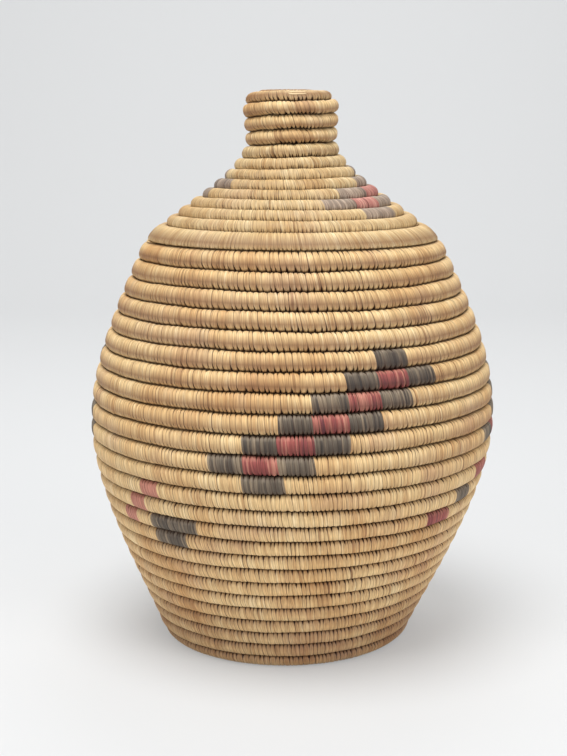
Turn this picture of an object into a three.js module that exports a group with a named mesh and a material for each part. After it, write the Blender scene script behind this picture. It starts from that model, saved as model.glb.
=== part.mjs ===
// A coiled grass basket with a necked lid that lifts off.
// Every piece is a bundle of grass bound with strips and wound into a spiral, each turn stitched
// to the one below. A turn lies between two seams, so the seams' places along the wall's profile
// give every turn its place and height. Millimetres, +Z up, the front towards -Y.
import * as THREE from "three";

// The basket's wall, measured at the seams of its outer face
const footRadius = 81.2;
const footTurnUp = 8.5;
const footSlope = THREE.MathUtils.degToRad(70.6);
const footReach = 23;
const bellyRadius = 128.8;
const bellyHeight = 144.9;
const bellyReachDown = 47.8;
const bellyReachUp = 41.8;
const rimRadius = 93.1;
const rimHeight = 259.2;
const rimSlope = THREE.MathUtils.degToRad(66.3);
const rimReach = 38.5;

// The lid, measured the same way
const lidEdgeSlope = THREE.MathUtils.degToRad(43.8);
const lidEdgeReach = 26.6;
const neckRadius = 27.1;
const neckTopRadius = 28.4;
const neckHeight = 30.5;
const neckReach = 21;
const crownTurnIn = 8.9;
const lidTop = 353;

// The coil: its binding stands out from the seams as a rounded ridge, inside and out
const ridge = 2;
const seamDepth = 6;
const stitchGap = 0.5;
const spliceGap = 0.5;
const standCut = 0.5;
const coilStart = 1.6;
const thinnestEnd = 1.4;

// Rows of coil, counted where they cross the front. The wall's rows grow taller round its middle.
// The lid's are thinnest where its neck begins, and its crown starts this far from its centre.
const wallRows = 25;
const footRowHeight = 10.2;
const growthStart = 9.5;
const growthEnd = 15.5;
const lidRows = 12;
const lidEdgeHeight = 15.9;
const lidRowSwing = 0.8;
const thinnestLidRow = 7.5;
const crownReach = 19.6;

// The lid sits on the rim, and a ring below its edge keeps it central in the mouth
const seatGap = 0.3;
const mouthClearance = 1.5;
const ringDepth = 13;
const ringRows = 2;
const ringThickness = 5;

// The maker's hand: the shoulder stands a little to the right, the foot and the neck to the left
const shoulderLean = 1.3;
const footLean = 5.6;
const footLeanBend = 1.4;
const neckLean = 2.2;
const leanTop = 210;

const stepsPerTurn = 24;

const straw = new THREE.MeshStandardMaterial({ color: 0xd2b07c, roughness: 0.78, metalness: 0 });
const paleStraw = new THREE.MeshStandardMaterial({ color: 0xdcbf88, roughness: 0.76, metalness: 0 });
const dullStraw = new THREE.MeshStandardMaterial({ color: 0xbd9a6c, roughness: 0.84, metalness: 0 });

// A profile runs up the outer seams in radius and height. Its arc length places every seam.
function profileOf(...curves) {
  const path = new THREE.CurvePath();
  curves.forEach((curve) => path.add(curve));
  return { path, length: path.getLength() };
}

const point = (radius, height) => new THREE.Vector2(radius, height);

function basketProfile() {
  const groundLine = ridge - standCut;
  const turnCentre = point(footRadius - footTurnUp * Math.sin(footSlope), groundLine + footTurnUp);
  const turnEnd = footSlope - Math.PI / 2;
  const wallFoot = point(footRadius, turnCentre.y + footTurnUp * Math.sin(turnEnd));
  const belly = point(bellyRadius, bellyHeight);
  const rim = point(rimRadius, rimHeight);
  const footAim = point(footReach * Math.cos(footSlope), footReach * Math.sin(footSlope));
  const rimAim = point(rimReach * Math.cos(rimSlope), -rimReach * Math.sin(rimSlope));
  return profileOf(
    new THREE.LineCurve(point(0, groundLine), point(turnCentre.x, groundLine)),
    new THREE.EllipseCurve(turnCentre.x, turnCentre.y, footTurnUp, footTurnUp, -Math.PI / 2, turnEnd),
    new THREE.CubicBezierCurve(
      wallFoot, wallFoot.clone().add(footAim), point(bellyRadius, bellyHeight - bellyReachDown), belly,
    ),
    new THREE.CubicBezierCurve(
      belly, point(bellyRadius, bellyHeight + bellyReachUp), rim.clone().add(rimAim), rim,
    ),
  );
}

function lidProfile() {
  const edge = point(rimRadius, rimHeight + seatGap);
  const edgeAim = point(-lidEdgeReach * Math.cos(lidEdgeSlope), lidEdgeReach * Math.sin(lidEdgeSlope));
  const crownLine = lidTop - ridge;
  const neckFoot = lidTop - neckHeight;
  const turnCentre = point(neckTopRadius - crownTurnIn, crownLine - crownTurnIn);
  return profileOf(
    new THREE.CubicBezierCurve(
      edge, edge.clone().add(edgeAim), point(neckRadius, neckFoot - neckReach), point(neckRadius, neckFoot),
    ),
    new THREE.LineCurve(point(neckRadius, neckFoot), point(neckTopRadius, turnCentre.y)),
    new THREE.EllipseCurve(turnCentre.x, turnCentre.y, crownTurnIn, crownTurnIn, 0, Math.PI / 2),
    new THREE.LineCurve(point(turnCentre.x, crownLine), point(0, crownLine)),
  );
}

// The seam under a coil after so many turns, counted in rows. A spiral climbs one row a turn:
// evenly where levelling is 0, and mostly round the back where it is 1, so the front looks level.
function rowsClimbed(turns, levelling) {
  return turns - 0.5 + (levelling * Math.sin(2 * Math.PI * turns)) / (2 * Math.PI);
}

const basket = basketProfile();
const footMark = basket.path.curves[0].getLength() + footRowHeight * 0.13;
const growth = (basket.length - footMark - footRowHeight * wallRows) / tallRows(wallRows);
const rimRowHeight = footRowHeight + growth;

// How many of the rows below count as tall ones, where a row half way through the change is a half
function tallRows(rows) {
  const span = growthEnd - growthStart;
  const share = THREE.MathUtils.clamp((rows - growthStart) / span, 0, 1);
  return span * (share ** 3 - share ** 4 / 2) + Math.max(rows - growthEnd, 0);
}

function basketSeam(turns) {
  const levelling = THREE.MathUtils.smoothstep(turns, 3, 13);
  const rows = rowsClimbed(turns, levelling);
  return footMark + footRowHeight * rows + growth * tallRows(rows);
}

const lid = lidProfile();
const lidRowHeight = (lid.length - crownReach - lidEdgeHeight - lidSwing(lidRows)) / lidRows;

function lidSwing(rows) {
  const within = THREE.MathUtils.clamp(rows, 0, lidRows);
  return ((lidRowSwing * thinnestLidRow) / Math.PI) * Math.sin((Math.PI * within) / thinnestLidRow);
}

function lidSeam(turns) {
  const levelling = 1 - 0.6 * THREE.MathUtils.smoothstep(turns, 1, 6);
  const rows = rowsClimbed(turns, levelling);
  return lidEdgeHeight + lidRowHeight * rows + lidSwing(rows);
}

// How far the piece stands off the axis at a height
function lean(height) {
  const foot = footLean * Math.max(1 - height / leanTop, 0) ** footLeanBend;
  const neck = neckLean * Math.max((height - leanTop) / (lidTop - leanTop), 0);
  return shoulderLean - foot - neck;
}

// The outer face at a place along the profile, moved a little way up it, and the way it faces.
// An end that meets the lid or the rim is dressed level.
function faceAt(form, along, moved) {
  const { path, length } = form.profile;
  const share = THREE.MathUtils.clamp(along / length, 0, 1);
  const tangent = path.getTangent(THREE.MathUtils.clamp(share, 0.0002, 0.9998));
  const facing = point(tangent.y, -tangent.x);
  if (form.levelAt !== undefined) {
    const level = 1 - THREE.MathUtils.smoothstep(Math.abs(along - form.levelAt), 0, rimRowHeight);
    facing.lerp(point(1, 0), level).normalize();
  }
  const place = path.getPoint(share).addScaledVector(point(-facing.y, facing.x), moved);
  return { place, facing };
}

// One turn's cross-section between its two seams: flats towards its neighbours, a ridge outside
// and one inside. A coil that is stood on has a flat instead of its outer ridge.
function crossSection(form, [low, high]) {
  const { thickness = seamDepth, outerRidge = ridge, innerRidge = ridge } = form;
  const bottom = faceAt(form, low, stitchGap / 2);
  const middle = faceAt(form, (low + high) / 2, 0);
  const top = faceAt(form, high, -stitchGap / 2);
  const fullness = Math.min((high - low) / (footRowHeight * 0.8), 1);
  const off = (face, depth) => face.place.clone().addScaledVector(face.facing, depth);
  const outside = [off(bottom, 0), off(middle, outerRidge * fullness), off(top, 0)];
  if (form.stands) {
    const tip = outside[1];
    const kept = (outerRidge * fullness - standCut) / (outerRidge * fullness);
    const flat = [outside[0].clone().lerp(tip, kept), outside[2].clone().lerp(tip, kept)];
    outside.splice(1, 1, ...flat);
    return [...outside, off(top, -thickness), off(bottom, -thickness)];
  }
  outside.forEach((corner) => { corner.y = Math.max(corner.y, 0); });
  const inside = off(middle, -thickness - innerRidge * fullness);
  return [...outside, off(top, -thickness), inside, off(bottom, -thickness)];
}

// One unbroken tube wound from one turn count to another, with a flat cap at each end
function windCoil(name, material, form, firstTurn, lastTurn) {
  const firstStep = Math.round(firstTurn * stepsPerTurn);
  const lastStep = Math.round(lastTurn * stepsPerTurn);
  const rings = [];
  for (let step = firstStep; step <= lastStep; step += 1) {
    const turns = step / stepsPerTurn;
    const angle = Math.PI + 2 * Math.PI * turns;
    rings.push(crossSection(form, form.seams(turns)).map((corner) => new THREE.Vector3(
      corner.x * Math.sin(angle) + lean(corner.y), -corner.x * Math.cos(angle), corner.y,
    )));
  }
  drawBack(rings[0], rings[1]);
  drawBack(rings.at(-1), rings.at(-2));
  report(name, rings);
  const mesh = new THREE.Mesh(tubeThrough(rings), material);
  mesh.name = name;
  return mesh;
}

// A coil's end stops half a splice gap short of the next coil's end
function drawBack(end, before) {
  const share = Math.min(spliceGap / 2 / end[0].distanceTo(before[0]), 0.5);
  end.forEach((corner, index) => corner.lerp(before[index], share));
}

function tubeThrough(rings) {
  const sides = rings[0].length;
  const faces = [];
  for (let ring = 0; ring + 1 < rings.length; ring += 1) {
    for (let side = 0; side < sides; side += 1) {
      const here = ring * sides + side;
      const beside = ring * sides + ((side + 1) % sides);
      faces.push(here, here + sides, beside + sides);
      faces.push(here, beside + sides, beside);
    }
  }
  const last = (rings.length - 1) * sides;
  for (let side = 1; side + 1 < sides; side += 1) {
    faces.push(0, side, side + 1);
    faces.push(last, last + side + 1, last + side);
  }
  const corners = rings.flat().flatMap((corner) => [...corner]);
  const geometry = new THREE.BufferGeometry();
  geometry.setAttribute("position", new THREE.Float32BufferAttribute(corners, 3));
  geometry.setIndex(faces);
  geometry.computeVertexNormals();
  return geometry;
}

// The least gap between a coil and its own next turn, on the points of its rings
function report(name, rings) {
  let least = Infinity;
  rings.forEach((ring, index) => {
    const above = rings[index + stepsPerTurn] ?? [];
    ring.forEach((corner) => above.forEach((other) => {
      least = Math.min(least, corner.distanceTo(other));
    }));
  });
  const gap = least === Infinity ? "one turn" : `least gap to itself ${least.toFixed(2)} mm`;
  console.log(`${name}: ${((rings.length - 1) / stepsPerTurn).toFixed(1)} turns, ${gap}`);
}

// A spiral's two seams after so many turns: its free ends thin to nothing against the first and
// the last seam of its piece
function spiral(form, seam, first, last) {
  const within = (along) => THREE.MathUtils.clamp(along, first, last);
  return { ...form, seams: (turns) => [within(seam(turns)), within(seam(turns + 1))] };
}

// The turn at which a spiral's free end has become thin, found by stepping along it
function freeEnd(form, turns, direction) {
  const thickness = (turn) => form.seams(turn)[1] - form.seams(turn)[0];
  let turn = turns;
  while (thickness(turn + direction / stepsPerTurn) > thinnestEnd) turn += direction / stepsPerTurn;
  return turn;
}

function makeBasket() {
  const form = { profile: basket, levelAt: basket.length };
  const wall = spiral(form, basketSeam, coilStart, basket.length);
  const floor = { ...wall, stands: true };
  const group = new THREE.Group();
  group.add(
    windCoil("base_coil", dullStraw, floor, freeEnd(floor, 0, -1), 0),
    windCoil("foot_coil", dullStraw, wall, 0, 3),
    windCoil("lower_wall_coil", straw, wall, 3, 10),
    windCoil("belly_coil", straw, wall, 10, 18),
    windCoil("upper_wall_coil", straw, wall, 18, wallRows - 1),
    windCoil("rim_coil", straw, wall, wallRows - 1, freeEnd(wall, wallRows - 1, 1)),
  );
  return group;
}

// The edge of the lid is one thick turn whose two ends butt together at the back
const lidEdge = { profile: lid, levelAt: 0, innerRidge: ridge / 2, seams: () => [0, lidEdgeHeight] };

// The ring that keeps the lid central hangs below its edge, clear of the mouth all round
function locatingRing() {
  const outerFace = rimRadius - seamDepth - mouthClearance - ridge / 2;
  const lowest = Math.min(...crossSection(lidEdge, lidEdge.seams()).map((corner) => corner.y));
  const top = lowest - seatGap + stitchGap / 2;
  const profile = profileOf(new THREE.LineCurve(point(outerFace, top - ringDepth), point(outerFace, top)));
  const form = { profile, thickness: ringThickness - ridge, outerRidge: ridge / 2, innerRidge: ridge / 2 };
  const seam = (turns) => rowsClimbed(turns, 1) * (ringDepth / ringRows);
  return spiral(form, seam, 0, ringDepth);
}

function makeLid() {
  const body = spiral({ profile: lid }, lidSeam, lidEdgeHeight, lid.length - coilStart);
  const ring = locatingRing();
  const group = new THREE.Group();
  group.add(
    windCoil("lid_locating_ring", dullStraw, ring, freeEnd(ring, 0, -1), freeEnd(ring, ringRows, 1)),
    windCoil("lid_edge_coil", paleStraw, lidEdge, 0, 1),
    windCoil("lid_shoulder_coil", paleStraw, body, freeEnd(body, 0, -1), 4),
    windCoil("lid_slope_coil", paleStraw, body, 4, 8),
    windCoil("lid_neck_coil", straw, body, 8, lidRows),
    windCoil("lid_crown_coil", straw, body, lidRows, freeEnd(body, lidRows, 1)),
  );
  return group;
}

const object = new THREE.Group();
object.add(makeBasket(), makeLid());

export default object;
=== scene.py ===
# %% [markdown]
# A coiled grass basket with a lid that lifts off. The real one is a long bundle of grass, bound
# all the way with thin strips of split palm leaf and wound up in a spiral, each turn stitched to
# the turn below. The CAD model gives every coil its place and size. This script gives the coils
# their binding: every strip of it, the bites where the stitches go in, and the dyed steps.

# %% Load the frame
import math

import bmesh
import bpy
import numpy as np
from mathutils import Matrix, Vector


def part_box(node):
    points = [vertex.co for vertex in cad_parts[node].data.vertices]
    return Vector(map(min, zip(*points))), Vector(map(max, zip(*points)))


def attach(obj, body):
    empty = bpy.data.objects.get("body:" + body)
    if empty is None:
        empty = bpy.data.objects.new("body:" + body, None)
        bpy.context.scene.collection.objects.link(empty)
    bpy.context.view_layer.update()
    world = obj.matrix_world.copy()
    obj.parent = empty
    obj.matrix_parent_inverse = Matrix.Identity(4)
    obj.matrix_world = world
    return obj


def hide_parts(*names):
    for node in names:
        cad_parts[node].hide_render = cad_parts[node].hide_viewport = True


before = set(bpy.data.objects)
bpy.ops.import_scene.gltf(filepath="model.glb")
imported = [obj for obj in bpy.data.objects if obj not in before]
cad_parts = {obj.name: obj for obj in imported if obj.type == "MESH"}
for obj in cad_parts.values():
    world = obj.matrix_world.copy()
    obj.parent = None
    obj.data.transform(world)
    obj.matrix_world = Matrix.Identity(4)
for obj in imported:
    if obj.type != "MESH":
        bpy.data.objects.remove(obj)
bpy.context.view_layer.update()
MM = 0.001

# %% [markdown]
# The camera comes first. It stands nearly nine tenths of a metre in front of the basket, a little
# below the top of its lid, and looks ten degrees down, so the neck shows from the side and the
# foot from above. A lens could be guessed, but then every row would sit a little off. So it is
# worked out from the focal length in pixels of the 567 x 756 image.

# %% Camera
IMAGE_HEIGHT = 756
FOCAL_PIXELS = 1358.7
SENSOR = 36.0
LOOKS_DOWN = 10.32
CAMERA_PLACE = (-5.4 * MM, -876.5 * MM, 327.8 * MM)

camera_data = bpy.data.cameras.new("camera")
camera_data.sensor_fit = "VERTICAL"
camera_data.sensor_height = SENSOR
camera_data.lens = FOCAL_PIXELS / IMAGE_HEIGHT * SENSOR
camera = bpy.data.objects.new("camera", camera_data)
camera.location = CAMERA_PLACE
camera.rotation_euler = (math.radians(90 - LOOKS_DOWN), 0, 0)
bpy.context.scene.collection.objects.link(camera)
bpy.context.scene.camera = camera
bpy.context.scene.view_settings.view_transform = "Standard"
print("lens", round(camera_data.lens, 2), "mm")

# %% [markdown]
# Colours are written as sRGB hex values, as a paint chart gives them, and one function turns them
# to the linear values that the shader works in. A second small function adds a node: an input
# that is given a socket is linked to it, and any other is set to its value. So a material reads
# as a list of what it is made of. The last one makes an object of a finished bmesh.

# %% Colours, nodes and objects
def colour(hex_value):
    """An sRGB hex value as linear red, green and blue, with full cover."""
    parts = [int(hex_value[i:i + 2], 16) / 255 for i in (1, 3, 5)]
    linear = [p / 12.92 if p <= 0.04045 else ((p + 0.055) / 1.055) ** 2.4 for p in parts]
    return (*linear, 1.0)


def add(tree, kind, inputs=None, stops=(), **settings):
    """Add a node with its settings, values, links and, on a colour ramp, its stops."""
    node = tree.nodes.new(kind)
    for name, value in settings.items():
        setattr(node, name, value)
    for name, value in (inputs or {}).items():
        if isinstance(value, bpy.types.NodeSocket):
            tree.links.new(value, node.inputs[name])
        else:
            node.inputs[name].default_value = value
    while stops and len(node.color_ramp.elements) < len(stops):
        node.color_ramp.elements.new(1.0)
    for number, (place, value) in enumerate(stops):
        node.color_ramp.elements[number].position = place
        node.color_ramp.elements[number].color = colour(value)
    return node


def new_material(name):
    material = bpy.data.materials.new(name)
    material.use_nodes = True
    material.node_tree.nodes.clear()
    return material, material.node_tree


def object_of(bm, name):
    mesh = bpy.data.meshes.new(name)
    bm.to_mesh(mesh)
    bm.free()
    made = bpy.data.objects.new(name, mesh)
    bpy.context.scene.collection.objects.link(made)
    return made


# %% [markdown]
# The basket stands on a pale seamless sheet that curves up behind it, as in a small studio. The
# sheet is one bent row of edges, extruded sideways. It is stage, not part of the object. It is
# matt paper, which gives no reflection. A share of its colour is light of its own, which only the
# camera and sharp rays see. That keeps the shadow pale without lighting the basket.

# %% Floor and backdrop
SHEET_HALF_WIDTH = 4.0
SHEET_FRONT = -4.0
SHEET_BEND_START = 1.6
SHEET_BEND_RADIUS = 1.2
SHEET_TOP = 4.0
SHEET_BEND_STEPS = 24
SHEET_OWN_LIGHT = 0.35
PAPER = "#d5d6d7"
PAPER_LIT = "#e6e7e7"


def make_sheet():
    bm = bmesh.new()
    outline = [(SHEET_FRONT, 0.0)]
    for step in range(SHEET_BEND_STEPS + 1):
        turn = math.pi / 2 * step / SHEET_BEND_STEPS
        y = SHEET_BEND_START + SHEET_BEND_RADIUS * math.sin(turn)
        outline.append((y, SHEET_BEND_RADIUS * (1 - math.cos(turn))))
    outline.append((SHEET_BEND_START + SHEET_BEND_RADIUS, SHEET_TOP))
    row = [bm.verts.new((-SHEET_HALF_WIDTH, y, z)) for y, z in outline]
    edges = [bm.edges.new(pair) for pair in zip(row, row[1:])]
    made = bmesh.ops.extrude_edge_only(bm, edges=edges)["geom"]
    moved = [part for part in made if isinstance(part, bmesh.types.BMVert)]
    bmesh.ops.translate(bm, verts=moved, vec=(2 * SHEET_HALF_WIDTH, 0, 0))
    sheet = object_of(bm, "backdrop")
    sheet.data.shade_smooth()
    return sheet


backdrop = make_sheet()
paper, tree = new_material("matt_backdrop_paper")
shader = add(tree, "ShaderNodeBsdfPrincipled", {"Base Color": colour(PAPER), "Roughness": 0.9})
own_light = add(tree, "ShaderNodeEmission", {"Color": colour(PAPER_LIT)})
ray = add(tree, "ShaderNodeLightPath").outputs
sharp = add(tree, "ShaderNodeMath", {0: ray["Is Glossy Ray"], 1: ray["Is Transmission Ray"]},
            operation="MAXIMUM")
seen = add(tree, "ShaderNodeMath", {0: ray["Is Camera Ray"], 1: sharp.outputs[0]},
           operation="MAXIMUM")
share = add(tree, "ShaderNodeMath", {0: seen.outputs[0], 1: SHEET_OWN_LIGHT}, operation="MULTIPLY")
surface = add(tree, "ShaderNodeMixShader",
              {0: share.outputs[0], 1: shader.outputs[0], 2: own_light.outputs[0]})
add(tree, "ShaderNodeOutputMaterial", {"Surface": surface.outputs[0]})
backdrop.data.materials.append(paper)
print("sheet", 2 * SHEET_HALF_WIDTH, "m wide and", SHEET_TOP, "m high")

# %% [markdown]
# Plain soft studio light: a large lamp over the basket, which lights the top of every row, a
# weaker one low on each side, one behind for the backdrop, and an even pale surround. Small lamps
# would draw the grooves harder than the photograph has them. A lamp has its name, its place, what
# it is turned to, its width in metres and its power in watts.

# %% Light
MIDDLE = (0, 0, 0.17)
SHEET_BEHIND = (0, 1.4, 0.4)
LAMPS = (
    ("key_lamp", (-0.2, -0.5, 2.3), MIDDLE, 1.4, 42),
    ("left_fill_lamp", (-1.5, -1.3, 0.6), MIDDLE, 1.3, 16),
    ("right_fill_lamp", (1.5, -1.3, 0.6), MIDDLE, 1.3, 19),
    ("back_lamp", (0.2, 1.5, 2.1), SHEET_BEHIND, 1.4, 13),
)
SURROUND = "#f2f3f4"
SURROUND_STRENGTH = 0.5


def add_lamp(name, place, aim, width, power):
    data = bpy.data.lights.new(name, "AREA")
    data.shape = "DISK"
    data.size = width
    data.energy = power
    lamp = bpy.data.objects.new(name, data)
    lamp.location = place
    lamp.rotation_euler = (Vector(aim) - Vector(place)).to_track_quat("-Z", "Y").to_euler()
    bpy.context.scene.collection.objects.link(lamp)


for lamp in LAMPS:
    add_lamp(*lamp)

world = bpy.data.worlds.new("studio")
world.use_nodes = True
world.node_tree.nodes["Background"].inputs["Color"].default_value = colour(SURROUND)
world.node_tree.nodes["Background"].inputs["Strength"].default_value = SURROUND_STRENGTH
bpy.context.scene.world = world
print(len(LAMPS), "lamps,", sum(lamp[-1] for lamp in LAMPS), "W in all")

# %% [markdown]
# The wall's outline is drawn along the outer seams, the grooves between one turn and the next: a
# flat base, a small turn up, and two long curves that meet at the belly. The lid has an outline
# of its own, from its edge up the neck and in over the crown. Both are in millimetres of radius
# and height, and an arc length along them says where a seam lies. They are the CAD model's own
# curves. Reading them off its mesh would give its flats and not the curve.

# %% Outlines of the basket and its lid
RIDGE = 2.0  # how far a turn bulges past its seams
STAND_CUT = 0.5  # how much of that bulge is flattened where the basket stands

FOOT_RADIUS = 81.2
FOOT_TURN_UP = 8.5
FOOT_SLOPE = math.radians(70.6)
FOOT_REACH = 23.0
BELLY = (128.8, 144.9)
BELLY_REACH_DOWN = 47.8
BELLY_REACH_UP = 41.8
RIM = (93.1, 259.2)
RIM_SLOPE = math.radians(66.3)
RIM_REACH = 38.5
SEAT_GAP = 0.3
LID_TOP = 353.0
LID_EDGE_SLOPE = math.radians(43.8)
LID_EDGE_REACH = 26.6
NECK_FOOT = (27.1, LID_TOP - 30.5)
NECK_REACH = 21.0
NECK_TOP_RADIUS = 28.4
CROWN_TURN_IN = 8.9


def straight(start, end, count=12):
    share = np.linspace(0, 1, count)[:, None]
    return np.array(start) * (1 - share) + np.array(end) * share


def bent(start, start_aim, end_aim, end, count=90):
    """A curve that leaves its start towards one aim and comes to its end from the other."""
    t = np.linspace(0, 1, count)[:, None]
    a, b, c, d = (np.array(p) for p in (start, start_aim, end_aim, end))
    return (1 - t) ** 3 * a + 3 * (1 - t) ** 2 * t * b + 3 * (1 - t) * t ** 2 * c + t ** 3 * d


def round_corner(centre, radius, first, last, count=24):
    angle = np.linspace(first, last, count)
    return np.column_stack((centre[0] + radius * np.cos(angle), centre[1] + radius * np.sin(angle)))


def outline_of(*curves):
    """Curves joined end to end, with the arc length and the direction at every point."""
    points = np.vstack([curves[0], *(curve[1:] for curve in curves[1:])])
    along = np.concatenate(([0], np.cumsum(np.linalg.norm(np.diff(points, axis=0), axis=1))))
    tangents = np.gradient(points, along, axis=0)
    tangents /= np.linalg.norm(tangents, axis=1)[:, None]
    return {"points": points, "along": along, "tangents": tangents, "length": along[-1]}


def basket_outline():
    ground = RIDGE - STAND_CUT
    centre = (FOOT_RADIUS - FOOT_TURN_UP * math.sin(FOOT_SLOPE), ground + FOOT_TURN_UP)
    turn_end = FOOT_SLOPE - math.pi / 2
    foot = (FOOT_RADIUS, centre[1] + FOOT_TURN_UP * math.sin(turn_end))
    foot_aim = (foot[0] + FOOT_REACH * math.cos(FOOT_SLOPE), foot[1] + FOOT_REACH * math.sin(FOOT_SLOPE))
    rim_aim = (RIM[0] + RIM_REACH * math.cos(RIM_SLOPE), RIM[1] - RIM_REACH * math.sin(RIM_SLOPE))
    return outline_of(
        straight((0, ground), (centre[0], ground)),
        round_corner(centre, FOOT_TURN_UP, -math.pi / 2, turn_end),
        bent(foot, foot_aim, (BELLY[0], BELLY[1] - BELLY_REACH_DOWN), BELLY),
        bent(BELLY, (BELLY[0], BELLY[1] + BELLY_REACH_UP), rim_aim, RIM),
    ), centre[0]


def lid_outline():
    edge = (RIM[0], RIM[1] + SEAT_GAP)
    edge_aim = (
        edge[0] - LID_EDGE_REACH * math.cos(LID_EDGE_SLOPE),
        edge[1] + LID_EDGE_REACH * math.sin(LID_EDGE_SLOPE),
    )
    crown_line = LID_TOP - RIDGE
    centre = (NECK_TOP_RADIUS - CROWN_TURN_IN, crown_line - CROWN_TURN_IN)
    return outline_of(
        bent(edge, edge_aim, (NECK_FOOT[0], NECK_FOOT[1] - NECK_REACH), NECK_FOOT),
        straight(NECK_FOOT, (NECK_TOP_RADIUS, centre[1])),
        round_corner(centre, CROWN_TURN_IN, 0, math.pi / 2),
        straight((centre[0], crown_line), (0, crown_line)),
    )


basket, floor_length = basket_outline()
lid = lid_outline()
print("outlines", round(basket["length"], 1), "mm and", round(lid["length"], 1), "mm")

# %% [markdown]
# A spiral climbs one row in a turn. The maker of this basket climbed mostly round the back, so
# the rows look level from the front. These functions give the seam under a coil after so many
# turns, the same way as the CAD model does, so each visible coil lies where its solid lies. The
# wall's rows grow taller round its middle, and its first seam lies a small share of a row past
# the flat of the base.

# %% Seams of the basket
WALL_ROWS = 25
FOOT_ROW_HEIGHT = 10.2
GROWTH_START = 9.5
GROWTH_END = 15.5
FOOT_MARK = 0.13  # of a row, from the flat of the base to the first seam
LEVELLING_GROWS = (3, 13)  # the turns over which the climb moves to the back


def smoothstep(value, low, high):
    share = np.clip((value - low) / (high - low), 0, 1)
    return share * share * (3 - 2 * share)


def rows_climbed(turns, levelling):
    """A levelling of 0 climbs evenly, and 1 climbs mostly round the back."""
    return turns - 0.5 + levelling * np.sin(2 * np.pi * turns) / (2 * np.pi)


def tall_rows(rows):
    """How many of the rows below are tall ones, where a row half way through the change is a half."""
    span = GROWTH_END - GROWTH_START
    share = np.clip((rows - GROWTH_START) / span, 0, 1)
    return span * (share ** 3 - share ** 4 / 2) + np.maximum(rows - GROWTH_END, 0)


foot_mark = floor_length + FOOT_MARK * FOOT_ROW_HEIGHT
growth = (basket["length"] - foot_mark - FOOT_ROW_HEIGHT * WALL_ROWS) / tall_rows(WALL_ROWS)
rim_row_height = FOOT_ROW_HEIGHT + growth


def basket_seam(turns):
    rows = rows_climbed(turns, smoothstep(turns, *LEVELLING_GROWS))
    return foot_mark + FOOT_ROW_HEIGHT * rows + growth * tall_rows(rows)


print("rows at the foot and rim", FOOT_ROW_HEIGHT, round(rim_row_height, 2), "mm")

# %% [markdown]
# The lid's spiral starts above its thick edge. Its rows are thinnest where the neck begins, and
# it climbs more evenly towards the neck, where the photograph shows the seams slanting.

# %% Seams of the lid
LID_ROWS = 12
LID_EDGE_HEIGHT = 15.9
LID_ROW_SWING = 0.8
THINNEST_LID_ROW = 7.5
CROWN_REACH = 19.6  # the crown starts this far from its centre
LID_LEVELLING = (1.0, 0.4)
LID_LEVELLING_FALLS = (1, 6)


def blend(ends, share):
    return ends[0] + (ends[1] - ends[0]) * share


def lid_swing(rows):
    turn = np.pi * np.clip(rows, 0, LID_ROWS) / THINNEST_LID_ROW
    return LID_ROW_SWING * THINNEST_LID_ROW / np.pi * np.sin(turn)


lid_row_height = (lid["length"] - CROWN_REACH - LID_EDGE_HEIGHT - lid_swing(LID_ROWS)) / LID_ROWS


def lid_seam(turns):
    rows = rows_climbed(turns, blend(LID_LEVELLING, smoothstep(turns, *LID_LEVELLING_FALLS)))
    return LID_EDGE_HEIGHT + lid_row_height * rows + lid_swing(rows)


print("mean row of the lid", round(lid_row_height, 2), "mm")

# %% [markdown]
# The basket isn't quite true, as hand work never is: its shoulder stands a little to the right,
# and its foot and neck to the left. Each height has its own step sideways, and every point that
# is swung round the axis takes it. A turn is counted from the back, so half a turn is the front.

# %% The lean
SHOULDER_LEAN = 1.3
FOOT_LEAN = 5.6
FOOT_LEAN_BEND = 1.4
NECK_LEAN = 2.2
LEAN_TOP = 210.0


def lean(height):
    foot = FOOT_LEAN * np.maximum(1 - height / LEAN_TOP, 0) ** FOOT_LEAN_BEND
    neck = NECK_LEAN * np.maximum((height - LEAN_TOP) / (LID_TOP - LEAN_TOP), 0)
    return SHOULDER_LEAN - foot - neck


def swung(radius, height, turns):
    angle = np.pi + 2 * np.pi * turns
    return np.column_stack((radius * np.sin(angle) + lean(height), -radius * np.cos(angle), height))


print("lean at the floor and top", round(float(lean(0)), 2), round(float(lean(LID_TOP)), 2), "mm")

# %% [markdown]
# A form says what one coil is: the outline it follows, its seams, and how full and how toothed
# its binding is. The seams wander a few tenths of a millimetre, as they do in hand work, but not
# where the lid meets the rim. A spiral's free end thins out against the last seam. At the rim and
# at the foot of the lid's cone it runs out finer than the solid's, so that no light shows between
# it and the turn that it lies on.

# %% Forms of the coils
WANDERS = ((3.1, 0.22), (7.7, 0.16), (13.3, 0.12), (29.0, 0.07))
WANDER_SHIFT = 1.7
WANDER_FADES_OVER = 14.0
COIL_START = 1.6  # the small hole that a spiral is started round
THINNEST_END = 1.4
FINEST_END = 0.45
STEPS_PER_TURN = 24


def wander(turns):
    return sum(size * np.sin(2 * np.pi * rate * turns + WANDER_SHIFT * rate) for rate, size in WANDERS)


def spiral(outline, seam, first, last, **look):
    """A coil between two places on an outline, and how its binding looks."""
    def seams(turns):
        pair = []
        for turn in (turns, turns + 1):
            place = seam(turn)
            ends = smoothstep(np.minimum(place - first, last - place), 0, WANDER_FADES_OVER)
            pair.append(np.clip(place + wander(turn) * ends, first, last))
        return pair
    return {"outline": outline, "seams": seams, **look}


def free_end(form, turns, direction, thinnest=THINNEST_END):
    """The turn at which a spiral's free end has become thin."""
    step = direction / STEPS_PER_TURN
    low, high = form["seams"](np.array([turns + step]))
    while (high - low)[0] > thinnest:
        turns += step
        low, high = form["seams"](np.array([turns + step]))
    return turns


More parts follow.
